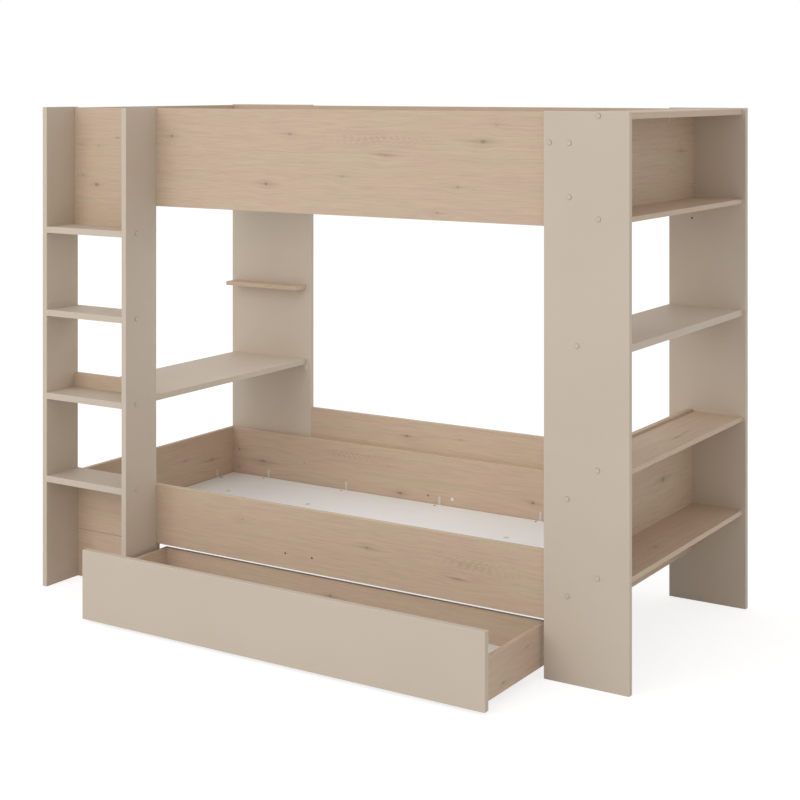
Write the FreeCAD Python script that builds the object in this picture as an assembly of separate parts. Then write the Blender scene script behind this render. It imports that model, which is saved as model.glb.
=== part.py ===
"""Bunk bed with a ladder of steps and a desk at one end, shelves at the other and a drawer on castors.

Every board, bolt and cap is a separate solid, and pieces of one kind share a file. While the pieces are made,
X runs along the bed from the ladder, Y from its front to the wall and Z up from the floor, with X = 0 at the
ladder's outer side and Y = 0 at the front face of the front rails. They are then moved so that the origin is
on the floor, under the middle of the whole bed with its drawer open.
"""

import FreeCAD
import Part
import math
import os
from FreeCAD import Vector

# Whole bed
BED_LENGTH = 2246.0
BED_HEIGHT = 1733.0
FRAME_DEPTH = 944.0

# Board thicknesses
UPRIGHT_THICK = 20.0
RAIL_THICK = 18.0
STEP_THICK = 22.0
SHELF_THICK = 16.0
EDGE_EASE = 0.8

# Ladder, with its steps between two uprights
LADDER_WIDTH = 399.0
LADDER_DEPTH = 162.0
STEP_COUNT = 4
FIRST_STEP_TOP = 401.0
STEP_PITCH = 300.0
STEP_BOLT_FROM_FRONT = 55.0
DESK_STOP_HEIGHT = 52.0

# Bunks
LOWER_RAIL_LIFT = 176.0
LOWER_RAIL_HEIGHT = 211.0
UPPER_RAIL_HEIGHT = 350.0
TOP_DROP = 3.0
LOWER_BOLT_RISES = (49.0, 124.0)
UPPER_BOLT_INSET = 79.0
RAIL_HOLE_SPACING = 110.0
RAIL_HOLE_RISE = 51.0
RAIL_HOLE_RADIUS = 4.0

# Mattress base, hung in the rails on angle brackets and stiffened by bars
BASE_THICK = 16.0
BASE_CLEARANCE = 1.0
BRACKET_THICK = 2.0
BRACKET_WIDTH = 10.0
BRACKET_RISE = 32.0
BRACKET_LIFT = 5.0
BRACKET_REACH = 24.0
BRACKET_RAIL_SHARES = (0.092, 0.284, 0.499, 0.716, 0.905)
BRACKET_END_SHARES = (0.117, 0.883)
BAR_WIDTH = 60.0
BAR_THICK = 18.0
BAR_SPACING = 376.0
BAR_INSET = 40.0

# Panel, desk and ledge at the wall end of the ladder side
WALL_PANEL_WIDTH = 402.0
LEDGE_WIDTH = 357.0
LEDGE_DEPTH = 67.0
LEDGE_TOP = 1000.0
EDGE_FIXING_SHARES = (0.15, 0.85)
STRIP_DOWEL_SHARES = (0.3, 0.7)
WALL_BOARD_HEIGHT = 210.0
WALL_BOARD_TOP = 505.0

# Shelf tower
TOWER_WIDTH = 284.0
TOP_BOARD_THICK = 20.0
SHELF_SETBACK = 12.0
LOWER_END_INSET = 70.0
UPPER_END_INSET = 77.0
LOWER_END_HEIGHT = 497.0
UPPER_SHELF_RISE = 38.0
MIDDLE_SHELF_TOP = 1036.0
LOW_SHELF_TOP = 665.0
BOTTOM_SHELF_TOP = 342.0
MIDDLE_SHELF_BOLT_INSET = 112.0
LOWER_END_BOLT_RISE = 89.0
LOWER_END_BOLT_DROP = 114.0
UPPER_END_BOLT_INSET = 93.0
FACE_BOLT_INSET = 19.0
PILOT_DROP = 35.0
PILOT_RADIUS = 4.0
PILOT_DEPTH = 12.0
TOP_BRACKET_SHARES = (0.24, 0.76)

# Drawer, shown part open
DRAWER_OPEN = 359.5
DRAWER_SIDE_GAP = 2.5
DRAWER_FRONT_HEIGHT = 232.5
DRAWER_FRONT_LIFT = 10.5
DRAWER_FRONT_THICK = 22.0
DRAWER_FRONT_LAP = 11.0
DRAWER_SIDE_THICK = 15.0
DRAWER_SIDE_BOTTOM = 30.0
DRAWER_SIDE_HEIGHT = 128.0
DRAWER_BOX_DEPTH = 399.0
DRAWER_BOTTOM_THICK = 4.0
GROOVE_DEPTH = 6.0
GROOVE_CLEARANCE = 0.3
DRAWER_BAR_WIDTH = 60.0
DRAWER_BAR_THICK = 20.0
DRAWER_BAR_GAP = 4.0

# Castors under the drawer
WHEEL_RADIUS = 12.5
WHEEL_WIDTH = 14.0
WHEEL_RECESS = 2.5
WHEEL_RIM = 3.0
HUB_RADIUS = 5.0
AXLE_RADIUS = 2.5
AXLE_CLEARANCE = 0.05
AXLE_HEAD_RADIUS = 4.0
AXLE_HEAD_THICK = 1.5
FORK_THICK = 2.0
FORK_WHEEL_GAP = 1.0
FORK_EYE_RADIUS = 6.0
FORK_PLATE_WIDTH = 44.0
FORK_PLATE_LENGTH = 50.0
CASTOR_END_INSET = 60.0
CASTOR_SCREW_INSET = 6.0

# Bolts, nuts, dowels and caps
CAP_RADIUS = 8.5
CAP_HEIGHT = 2.6
CAP_TOP_SHARE = 0.8
BOLT_RADIUS = 3.0
BOLT_HEAD_RADIUS = 6.0
BOLT_HEAD_THICK = 3.0
SCREW_GRIP = 44.0
PANEL_GRIP = 12.0
BOLT_CLEARANCE = 0.4
NUT_RADIUS = 5.0
NUT_LENGTH = 13.0
NUT_SETBACK = 34.0
SLEEVE_RADIUS = 4.5
DOWEL_RADIUS = 4.0
DOWEL_LENGTH = 30.0
DOWEL_CLEARANCE = 0.2
DOWEL_OFFSET = 55.0
DOWEL_EDGE_SHARE = 0.6
DOWEL_THIN_SHARE = 0.7
DOWEL_EVEN_SHARE = 0.5
SCREW_RADIUS = 2.0
SCREW_HEAD_RADIUS = 3.5
SCREW_HEAD_THICK = 2.0
SCREW_BITE = 10.0
CUT_OVERRUN = 1.0
SHANK_SIDES = 4
HEAD_SIDES = 6
CAP_SIDES = 8
WHEEL_SIDES = 16

# Levels and faces that several pieces share
UPPER_RAIL_TOP = BED_HEIGHT - TOP_DROP
UPPER_RAIL_BOTTOM = UPPER_RAIL_TOP - UPPER_RAIL_HEIGHT
LOWER_RAIL_TOP = LOWER_RAIL_LIFT + LOWER_RAIL_HEIGHT
TOWER_LEFT = BED_LENGTH - TOWER_WIDTH
SHELF_RIGHT = BED_LENGTH - SHELF_SETBACK
BACK_RAIL_FRONT = FRAME_DEPTH - RAIL_THICK
WALL_PANEL_BACK = FRAME_DEPTH + UPRIGHT_THICK
LOWER_END_LEFT = TOWER_LEFT + LOWER_END_INSET
UPPER_END_LEFT = TOWER_LEFT + UPPER_END_INSET
LADDER_RIGHT_INNER = LADDER_WIDTH - UPRIGHT_THICK
STEP_TOPS = [FIRST_STEP_TOP + STEP_PITCH * n for n in range(STEP_COUNT)]
DESK_TOP = STEP_TOPS[1]
FRONT, BACK, LEFT, RIGHT = Vector(0, -1, 0), Vector(0, 1, 0), Vector(-1, 0, 0), Vector(1, 0, 0)
UP, DOWN = Vector(0, 0, 1), Vector(0, 0, -1)

solids = {}
cuts = {}


def board(name, x, y, z, free_ends=False):
    """Add a board that fills the given spans, eased along its length, and at its ends where they are free."""
    spans = (x[1] - x[0], y[1] - y[0], z[1] - z[0])
    shape = Part.makeBox(*spans, Vector(x[0], y[0], z[0]))
    eased = [edge for edge in shape.Edges if free_ends or edge.Length > max(spans) - EDGE_EASE]
    solids.setdefault(name, []).append(shape.makeChamfer(EDGE_EASE, eased))


def ring(centre, axis, radius, sides):
    """A closed many-sided outline round an axis."""
    turn = FreeCAD.Rotation(UP, axis)
    angles = [2 * math.pi * (n + 0.5) / sides for n in range(sides + 1)]
    corners = [Vector(radius * math.cos(angle), radius * math.sin(angle), 0) for angle in angles]
    return Part.makePolygon([centre + turn.multVec(corner) for corner in corners])


def prism(foot, axis, radius, length, sides):
    """A many-sided rod from its foot along an axis."""
    return Part.Face(ring(foot, axis, radius, sides)).extrude(axis * length)


def bore(name, foot, axis, radius, length, sides=SHANK_SIDES):
    """Cut a hole in a board, from its mouth along an axis, with an overrun out of the mouth."""
    drill = prism(foot - axis * CUT_OVERRUN, axis, radius, length + CUT_OVERRUN, sides)
    cuts.setdefault(name, []).append(drill)


def cap(face_point, outward):
    """A tapered cover cap, seated on a board over a bolt's head."""
    foot = ring(face_point, outward, CAP_RADIUS, CAP_SIDES)
    top = ring(face_point + outward * CAP_HEIGHT, outward, CAP_RADIUS * CAP_TOP_SHARE, CAP_SIDES)
    solids.setdefault("cover_caps", []).append(Part.makeLoft([foot, top], True, True))


def headed_rod(name, head_face, axis, shank):
    """A bolt or screw whose head is sunk flush with a face."""
    head = prism(head_face, axis, BOLT_HEAD_RADIUS, BOLT_HEAD_THICK, HEAD_SIDES)
    rod = prism(head_face + axis * BOLT_HEAD_THICK, axis, BOLT_RADIUS, shank - BOLT_HEAD_THICK, SHANK_SIDES)
    solids.setdefault(name, []).append(head.fuse(rod))


def sunk_hole(name, face_point, axis, thick):
    """A stepped hole through a board for a bolt and its sunk head."""
    bore(name, face_point, axis, BOLT_RADIUS + BOLT_CLEARANCE, thick + CUT_OVERRUN)
    bore(name, face_point, axis, BOLT_HEAD_RADIUS + BOLT_CLEARANCE, BOLT_HEAD_THICK, HEAD_SIDES)


def end_screw(outer, inner, face_point, axis, thick, grip=SCREW_GRIP, capped=True):
    """Screw a board's face to another board, with the head sunk and covered by a cap where it shows."""
    sunk_hole(outer, face_point, axis, thick)
    bore(inner, face_point + axis * thick, axis, BOLT_RADIUS + BOLT_CLEARANCE, grip + BOLT_CLEARANCE)
    headed_rod("assembly_screws", face_point, axis, thick + grip)
    if capped:
        cap(face_point, axis * -1)


def nut_bolt(outer, inner, face_point, axis, thick, nut_axis, nut_reach):
    """Bolt a board's face to another board's end, into a cross nut that the end board's bore holds.

    The nut is laid along nut_axis, in a bore whose mouth is nut_reach back from the bolt's line.
    """
    sunk_hole(outer, face_point, axis, thick)
    seam = face_point + axis * thick
    bore(inner, seam, axis, BOLT_RADIUS + BOLT_CLEARANCE, NUT_SETBACK)
    headed_rod("connecting_bolts", face_point, axis, thick + NUT_SETBACK)
    centre = seam + axis * NUT_SETBACK
    mouth = centre - nut_axis * nut_reach
    bore(inner, mouth, nut_axis, NUT_RADIUS + BOLT_CLEARANCE, nut_reach + NUT_LENGTH / 2, HEAD_SIDES)
    nut = prism(centre - nut_axis * (NUT_LENGTH / 2), nut_axis, NUT_RADIUS, NUT_LENGTH, HEAD_SIDES)
    thread = prism(seam, axis, BOLT_RADIUS, NUT_SETBACK, SHANK_SIDES)
    solids.setdefault("barrel_nuts", []).append(nut.cut(thread))
    cap(face_point, axis * -1)


def face_bolt(outer, inner, face_point, axis, outer_thick, inner_thick):
    """Bolt two boards face to face, with a headed sleeve nut from the far side."""
    sunk_hole(outer, face_point, axis, outer_thick)
    far = face_point + axis * (outer_thick + inner_thick)
    bore(inner, far, axis * -1, SLEEVE_RADIUS + BOLT_CLEARANCE, inner_thick + CUT_OVERRUN, HEAD_SIDES)
    bore(inner, far, axis * -1, BOLT_HEAD_RADIUS + BOLT_CLEARANCE, BOLT_HEAD_THICK, HEAD_SIDES)
    reach = outer_thick + inner_thick - BOLT_HEAD_THICK
    headed_rod("assembly_screws", face_point, axis, reach)
    head = prism(far, axis * -1, BOLT_HEAD_RADIUS, BOLT_HEAD_THICK, HEAD_SIDES)
    body = prism(far, axis * -1, SLEEVE_RADIUS, inner_thick, HEAD_SIDES)
    thread = prism(face_point, axis, BOLT_RADIUS, reach, SHANK_SIDES)
    solids.setdefault("sleeve_nuts", []).append(head.fuse(body).cut(thread))
    if axis is BACK:
        cap(face_point, FRONT)


def dowel(first, second, seam, axis, second_share, node="dowels"):
    """A dowel across a seam, in a blind bore in each board."""
    into_second = DOWEL_LENGTH * second_share
    into_first = DOWEL_LENGTH - into_second
    radius = DOWEL_RADIUS + DOWEL_CLEARANCE
    bore(first, seam, axis * -1, radius, into_first + DOWEL_CLEARANCE)
    bore(second, seam, axis, radius, into_second + DOWEL_CLEARANCE)
    solids.setdefault(node, []).append(
        prism(seam - axis * into_first, axis, DOWEL_RADIUS, DOWEL_LENGTH, SHANK_SIDES)
    )


def angle_bracket(name, corner, up, out, along, tall):
    """An L bracket: one leg stands on a face along up, the other lies along out."""
    profile = [
        corner,
        corner + up * tall,
        corner + up * tall + out * BRACKET_THICK,
        corner + up * BRACKET_THICK + out * BRACKET_THICK,
        corner + up * BRACKET_THICK + out * BRACKET_REACH,
        corner + out * BRACKET_REACH,
        corner,
    ]
    face = Part.Face(Part.makePolygon([p - along * (BRACKET_WIDTH / 2) for p in profile]))
    solids.setdefault(name, []).append(face.extrude(along * BRACKET_WIDTH))


def ladder():
    """Two narrow uprights with four steps, a back board over the top step and a plinth board at the foot."""
    depth = (-LADDER_DEPTH, 0)
    inner = (UPRIGHT_THICK, LADDER_RIGHT_INNER)
    board("ladder_left_panel", (0, UPRIGHT_THICK), depth, (0, BED_HEIGHT), free_ends=True)
    board("ladder_right_panel", (LADDER_RIGHT_INNER, LADDER_WIDTH), depth, (0, BED_HEIGHT), free_ends=True)
    for n, top in enumerate(STEP_TOPS, start=1):
        step = f"ladder_step_{n}"
        board(step, inner, depth, (top - STEP_THICK, top))
        middle = top - STEP_THICK / 2
        bolt_y = -LADDER_DEPTH + STEP_BOLT_FROM_FRONT
        panels = (("ladder_left_panel", 0, RIGHT), ("ladder_right_panel", LADDER_WIDTH, LEFT))
        for panel, face_x, axis in panels:
            face_point = Vector(face_x, bolt_y, middle)
            end_screw(panel, step, face_point, axis, UPRIGHT_THICK)
            seam = Vector(face_x, bolt_y + DOWEL_OFFSET, middle) + axis * UPRIGHT_THICK
            dowel(panel, step, seam, axis, DOWEL_EDGE_SHARE)
    board("ladder_top_board", inner, (-RAIL_THICK, 0), (STEP_TOPS[-1], UPPER_RAIL_TOP))
    board("desk_stop_strip", inner, (-RAIL_THICK, 0), (DESK_TOP, DESK_TOP + DESK_STOP_HEIGHT))
    board("ladder_plinth_board", (0, LADDER_WIDTH), (0, RAIL_THICK), (0, LOWER_RAIL_LIFT))
    for share in STRIP_DOWEL_SHARES:
        x = inner[0] + (inner[1] - inner[0]) * share
        dowel("ladder_step_2", "desk_stop_strip", Vector(x, -RAIL_THICK / 2, DESK_TOP), UP, DOWEL_EDGE_SHARE)
    for panel, x in (("ladder_left_panel", 0), ("ladder_right_panel", LADDER_RIGHT_INNER)):
        point = Vector(x + UPRIGHT_THICK / 2, RAIL_THICK, LOWER_RAIL_LIFT / 2)
        end_screw("ladder_plinth_board", panel, point, FRONT, RAIL_THICK, capped=False)


def bunk(level, bottom, height, end_left, end_height, bolt_levels):
    """The rails and end boards of one bunk, with its mattress base, brackets and bars."""
    z = (bottom, bottom + height)
    rail_x = (RAIL_THICK, end_left)
    right_z = (bottom, bottom + end_height)
    rails = {
        f"{level}_front_rail": ((0, RAIL_THICK), FRONT),
        f"{level}_back_rail": ((BACK_RAIL_FRONT, FRAME_DEPTH), BACK),
    }
    left_end, right_end = f"{level}_left_end_board", f"{level}_right_end_board"
    board(left_end, (0, RAIL_THICK), (0, FRAME_DEPTH), z)
    board(right_end, (end_left, end_left + RAIL_THICK), (0, FRAME_DEPTH), right_z)
    for rail, (y, outward) in rails.items():
        board(rail, rail_x, y, z)
        middle_y = (y[0] + y[1]) / 2
        for level_z in bolt_levels:
            left = Vector(0, middle_y, level_z)
            right = Vector(end_left + RAIL_THICK, middle_y, level_z)
            nut_bolt(left_end, rail, left, RIGHT, RAIL_THICK, outward, RAIL_THICK / 2)
            nut_bolt(right_end, rail, right, LEFT, RAIL_THICK, outward, RAIL_THICK / 2)

    gap = BRACKET_THICK + BASE_CLEARANCE
    seat = bottom + BRACKET_LIFT
    base_bottom = seat + BRACKET_THICK
    base_x = (RAIL_THICK + gap, end_left - gap)
    base_y = (RAIL_THICK + gap, BACK_RAIL_FRONT - gap)
    board(f"{level}_base_board", base_x, base_y, (base_bottom, base_bottom + BASE_THICK))
    length = end_left - RAIL_THICK
    depth = BACK_RAIL_FRONT - RAIL_THICK
    brackets = f"{level}_base_brackets"
    tall = BRACKET_THICK + BASE_THICK + BRACKET_RISE
    for share in BRACKET_RAIL_SHARES:
        x = RAIL_THICK + length * share
        angle_bracket(brackets, Vector(x, RAIL_THICK, seat), UP, BACK, RIGHT, tall)
        angle_bracket(brackets, Vector(x, BACK_RAIL_FRONT, seat), UP, FRONT, RIGHT, tall)
    for share in BRACKET_END_SHARES:
        y = RAIL_THICK + depth * share
        angle_bracket(brackets, Vector(RAIL_THICK, y, seat), UP, RIGHT, BACK, tall)
        angle_bracket(brackets, Vector(end_left, y, seat), UP, LEFT, BACK, tall)
    for side in (-1, 1):
        bar_y = (FRAME_DEPTH + side * BAR_SPACING) / 2
        foot = Vector(base_x[0] + BAR_INSET, bar_y - BAR_WIDTH / 2, base_bottom - BAR_THICK)
        bar = Part.makeBox(base_x[1] - base_x[0] - 2 * BAR_INSET, BAR_WIDTH, BAR_THICK, foot)
        solids.setdefault(f"{level}_base_bars", []).append(bar)


def bunks():
    lower_bolts = [LOWER_RAIL_LIFT + rise for rise in LOWER_BOLT_RISES]
    upper_bolts = [UPPER_RAIL_BOTTOM + UPPER_BOLT_INSET, UPPER_RAIL_TOP - UPPER_BOLT_INSET]
    bunk("lower", LOWER_RAIL_LIFT, LOWER_RAIL_HEIGHT, LOWER_END_LEFT, LOWER_END_HEIGHT, lower_bolts)
    bunk("upper", UPPER_RAIL_BOTTOM, UPPER_RAIL_HEIGHT, UPPER_END_LEFT, UPPER_RAIL_HEIGHT, upper_bolts)
    middle_x = (RAIL_THICK + LOWER_END_LEFT) / 2
    for side in (-1, 1):
        hole_x = middle_x + side * RAIL_HOLE_SPACING / 2
        hole_z = LOWER_RAIL_LIFT + RAIL_HOLE_RISE
        length = RAIL_THICK + 2 * CUT_OVERRUN
        round_hole = Part.makeCylinder(RAIL_HOLE_RADIUS, length, Vector(hole_x, -CUT_OVERRUN, hole_z), BACK)
        cuts.setdefault("lower_front_rail", []).append(round_hole)
        mouth = Vector(hole_x, BACK_RAIL_FRONT, hole_z)
        bore("lower_back_rail", mouth, BACK, RAIL_HOLE_RADIUS, length, CAP_SIDES)
    plug_foot = Vector(middle_x + RAIL_HOLE_SPACING / 2, BACK_RAIL_FRONT, LOWER_RAIL_LIFT + RAIL_HOLE_RISE)
    stem = prism(plug_foot, BACK, RAIL_HOLE_RADIUS - DOWEL_CLEARANCE, PANEL_GRIP, CAP_SIDES)
    head = prism(plug_foot, FRONT, CAP_RADIUS * CAP_TOP_SHARE, SCREW_HEAD_THICK, CAP_SIDES)
    solids["rail_plug"] = [head.fuse(stem)]


def wall_side():
    """The upright by the wall behind the ladder, its ledge, the desk and the low back board."""
    wall_y = (FRAME_DEPTH, WALL_PANEL_BACK)
    board("wall_panel", (0, WALL_PANEL_WIDTH), wall_y, (0, BED_HEIGHT), free_ends=True)
    desk_x = (UPRIGHT_THICK, LADDER_RIGHT_INNER)
    board("desk_top", desk_x, (0, FRAME_DEPTH), (DESK_TOP - STEP_THICK, DESK_TOP))
    for x in (desk_x[0] + BRACKET_REACH, desk_x[1]):
        corner = Vector(x, FRAME_DEPTH, DESK_TOP - STEP_THICK)
        angle_bracket("desk_brackets", corner, DOWN, FRONT, RIGHT, BRACKET_REACH)
    for share in EDGE_FIXING_SHARES:
        seam = Vector(desk_x[0] + (desk_x[1] - desk_x[0]) * share, 0, DESK_TOP - STEP_THICK / 2)
        dowel("ladder_step_2", "desk_top", seam, BACK, DOWEL_EVEN_SHARE)
    ledge_x = (UPRIGHT_THICK, UPRIGHT_THICK + LEDGE_WIDTH)
    ledge_z = (LEDGE_TOP - SHELF_THICK, LEDGE_TOP)
    board("wall_ledge", ledge_x, (FRAME_DEPTH - LEDGE_DEPTH, FRAME_DEPTH), ledge_z)
    for share in EDGE_FIXING_SHARES:
        point = Vector(ledge_x[0] + LEDGE_WIDTH * share, WALL_PANEL_BACK, LEDGE_TOP - SHELF_THICK / 2)
        end_screw("wall_panel", "wall_ledge", point, FRONT, UPRIGHT_THICK, capped=False)
    back_y = (FRAME_DEPTH, FRAME_DEPTH + RAIL_THICK)
    back_bottom = WALL_BOARD_TOP - WALL_BOARD_HEIGHT
    board("wall_back_board", (WALL_PANEL_WIDTH, TOWER_LEFT), back_y, (back_bottom, WALL_BOARD_TOP))
    for share in EDGE_FIXING_SHARES:
        x = WALL_PANEL_WIDTH + (TOWER_LEFT - WALL_PANEL_WIDTH) * share
        point = Vector(x, back_y[1], (back_bottom + LOWER_RAIL_TOP) / 2)
        end_screw("wall_back_board", "lower_back_rail", point, FRONT, RAIL_THICK, PANEL_GRIP, capped=False)


def tower():
    """Front and back uprights with a top board and four shelves between them."""
    x = (TOWER_LEFT, BED_LENGTH)
    board("tower_front_panel", x, (-UPRIGHT_THICK, 0), (0, BED_HEIGHT), free_ends=True)
    board("tower_back_panel", x, (FRAME_DEPTH, WALL_PANEL_BACK), (0, BED_HEIGHT), free_ends=True)
    after_upper, after_lower = UPPER_END_LEFT + RAIL_THICK, LOWER_END_LEFT + RAIL_THICK
    shelves = {
        "tower_top_board": (after_upper, UPPER_RAIL_TOP, TOP_BOARD_THICK, None),
        "tower_shelf_upper": (after_upper, UPPER_RAIL_BOTTOM + UPPER_SHELF_RISE, SHELF_THICK, None),
        "tower_shelf_middle": (TOWER_LEFT, MIDDLE_SHELF_TOP, STEP_THICK, MIDDLE_SHELF_BOLT_INSET),
        "tower_shelf_low": (after_lower, LOW_SHELF_TOP, SHELF_THICK, None),
        "tower_shelf_bottom": (after_lower, BOTTOM_SHELF_TOP, SHELF_THICK, None),
    }
    uprights = {"tower_front_panel": (-UPRIGHT_THICK, BACK), "tower_back_panel": (WALL_PANEL_BACK, FRONT)}
    for shelf, (left, top, thick, bolt_inset) in shelves.items():
        board(shelf, (left, SHELF_RIGHT), (0, FRAME_DEPTH), (top - thick, top))
        x_bolt = left + bolt_inset if bolt_inset else (left + SHELF_RIGHT) / 2
        for upright, (face_y, axis) in uprights.items():
            point = Vector(x_bolt, face_y, top - thick / 2)
            end_screw(upright, shelf, point, axis, UPRIGHT_THICK, capped=axis is BACK)
            dowel(upright, shelf, point + RIGHT * DOWEL_OFFSET + axis * UPRIGHT_THICK, axis, DOWEL_EDGE_SHARE)

    lower_middle = LOWER_END_LEFT + RAIL_THICK / 2
    upper_middle = UPPER_END_LEFT + RAIL_THICK / 2
    lower_end_top = LOWER_RAIL_LIFT + LOWER_END_HEIGHT
    end_joints = (
        ("lower_right_end_board", lower_middle, LOWER_RAIL_LIFT + LOWER_END_BOLT_RISE),
        ("lower_right_end_board", lower_middle, lower_end_top - LOWER_END_BOLT_DROP),
        ("upper_right_end_board", upper_middle, UPPER_RAIL_BOTTOM + UPPER_END_BOLT_INSET),
        ("upper_right_end_board", upper_middle, UPPER_RAIL_TOP - UPPER_END_BOLT_INSET),
    )
    for upright, (face_y, axis) in uprights.items():
        for end_board, middle_x, z in end_joints:
            point = Vector(middle_x, face_y, z)
            end_screw(upright, end_board, point, axis, UPRIGHT_THICK, capped=axis is BACK)
        rail = "upper_front_rail" if axis is BACK else "upper_back_rail"
        face_point = Vector(TOWER_LEFT + FACE_BOLT_INSET, face_y, UPPER_RAIL_TOP - UPPER_END_BOLT_INSET)
        face_bolt(upright, rail, face_point, axis, UPRIGHT_THICK, RAIL_THICK)
        mouth = Vector(upper_middle, face_y, UPPER_RAIL_BOTTOM - PILOT_DROP)
        inner_mouth = mouth + axis * UPRIGHT_THICK
        bore(upright, inner_mouth, axis * -1, PILOT_RADIUS, PILOT_DEPTH, HEAD_SIDES)
    for share in TOP_BRACKET_SHARES:
        corner = Vector(after_upper, FRAME_DEPTH * share, UPPER_RAIL_TOP - TOP_BOARD_THICK)
        angle_bracket("top_board_brackets", corner, DOWN, RIGHT, BACK, BRACKET_REACH)


def frame_joints():
    """What ties the ladder and the wall panel to the bunks."""
    for level, bottom, top in (
        ("lower", LOWER_RAIL_LIFT, LOWER_RAIL_TOP),
        ("upper", UPPER_RAIL_BOTTOM, UPPER_RAIL_TOP),
    ):
        rail, end = f"{level}_front_rail", f"{level}_left_end_board"
        third = (top - bottom) / 3
        for z in (bottom + third, top - third):
            inside = Vector(LADDER_WIDTH - UPRIGHT_THICK / 2, RAIL_THICK, z)
            end_screw(rail, "ladder_right_panel", inside, FRONT, RAIL_THICK, capped=False)
            edge = Vector(RAIL_THICK / 2, 0, z)
            dowel("ladder_left_panel", end, edge, BACK, DOWEL_EVEN_SHARE)
            behind = Vector(RAIL_THICK / 2, WALL_PANEL_BACK, z)
            end_screw("wall_panel", end, behind, FRONT, UPRIGHT_THICK, capped=False)
        point = Vector(WALL_PANEL_WIDTH - FACE_BOLT_INSET, WALL_PANEL_BACK, (bottom + top) / 2)
        face_bolt("wall_panel", f"{level}_back_rail", point, FRONT, UPRIGHT_THICK, RAIL_THICK)
    for share in EDGE_FIXING_SHARES:
        x = UPRIGHT_THICK + (LADDER_RIGHT_INNER - UPRIGHT_THICK) * share
        inside = Vector(x, RAIL_THICK, (UPPER_RAIL_BOTTOM + UPPER_RAIL_TOP) / 2)
        end_screw("upper_front_rail", "ladder_top_board", inside, FRONT, RAIL_THICK, PANEL_GRIP, capped=False)


def drawer():
    """The drawer front and box, its sunk bottom and the bars that carry the castors."""
    front_x = (LADDER_WIDTH + DRAWER_SIDE_GAP, TOWER_LEFT - DRAWER_SIDE_GAP)
    box_x = (front_x[0] + DRAWER_FRONT_LAP, front_x[1] - DRAWER_FRONT_LAP)
    inner_x = (box_x[0] + DRAWER_SIDE_THICK, box_x[1] - DRAWER_SIDE_THICK)
    front_back = -DRAWER_OPEN
    box_back = front_back + DRAWER_BOX_DEPTH
    inner_back = box_back - DRAWER_SIDE_THICK
    z = (DRAWER_SIDE_BOTTOM, DRAWER_SIDE_BOTTOM + DRAWER_SIDE_HEIGHT)
    board(
        "drawer_front",
        front_x,
        (front_back - DRAWER_FRONT_THICK, front_back),
        (DRAWER_FRONT_LIFT, DRAWER_FRONT_LIFT + DRAWER_FRONT_HEIGHT),
        free_ends=True,
    )
    board("drawer_left_side", (box_x[0], inner_x[0]), (front_back, box_back), z)
    board("drawer_right_side", (inner_x[1], box_x[1]), (front_back, box_back), z)
    board("drawer_back", inner_x, (inner_back, box_back), z)

    bottom_z = DRAWER_SIDE_BOTTOM + DRAWER_BAR_THICK
    reach = GROOVE_DEPTH - GROOVE_CLEARANCE
    sheet = Part.makeBox(
        inner_x[1] - inner_x[0] + 2 * reach,
        inner_back - front_back + 2 * reach,
        DRAWER_BOTTOM_THICK,
        Vector(inner_x[0] - reach, front_back - reach, bottom_z),
    )
    solids["drawer_bottom"] = [sheet]
    groove = Part.makeBox(
        inner_x[1] - inner_x[0] + 2 * GROOVE_DEPTH,
        inner_back - front_back + 2 * GROOVE_DEPTH,
        DRAWER_BOTTOM_THICK + GROOVE_CLEARANCE,
        Vector(inner_x[0] - GROOVE_DEPTH, front_back - GROOVE_DEPTH, bottom_z),
    )
    for name in ("drawer_front", "drawer_left_side", "drawer_right_side", "drawer_back"):
        cuts.setdefault(name, []).append(groove)

    first_bar = inner_x[0] + DRAWER_BAR_GAP + DRAWER_BAR_WIDTH / 2
    last_bar = inner_x[1] - DRAWER_BAR_GAP - DRAWER_BAR_WIDTH / 2
    for x in (first_bar, (first_bar + last_bar) / 2, last_bar):
        foot = Vector(x - DRAWER_BAR_WIDTH / 2, front_back, DRAWER_SIDE_BOTTOM)
        bar = Part.makeBox(DRAWER_BAR_WIDTH, inner_back - front_back, DRAWER_BAR_THICK, foot)
        solids.setdefault("drawer_bars", []).append(bar)

    quarter = DRAWER_SIDE_HEIGHT / 4
    for level_z in (z[0] + 2 * quarter, z[1] - quarter / 2):
        for side, x, outward in (
            ("drawer_left_side", box_x[0] + DRAWER_SIDE_THICK / 2, LEFT),
            ("drawer_right_side", box_x[1] - DRAWER_SIDE_THICK / 2, RIGHT),
        ):
            seam = Vector(x, front_back, level_z)
            dowel("drawer_front", side, seam, BACK, DOWEL_EDGE_SHARE, "drawer_dowels")
            seam_x = inner_x[0] if outward is LEFT else inner_x[1]
            seam = Vector(seam_x, inner_back + DRAWER_SIDE_THICK / 2, level_z)
            dowel(side, "drawer_back", seam, outward * -1, DOWEL_THIN_SHARE, "drawer_dowels")

    near, far = front_back + CASTOR_END_INSET, inner_back - CASTOR_END_INSET
    for end, x in (("left", first_bar), ("right", last_bar)):
        castor(f"castor_wheel_front_{end}", x, near)
        castor(f"castor_wheel_rear_{end}", x, far)


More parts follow.
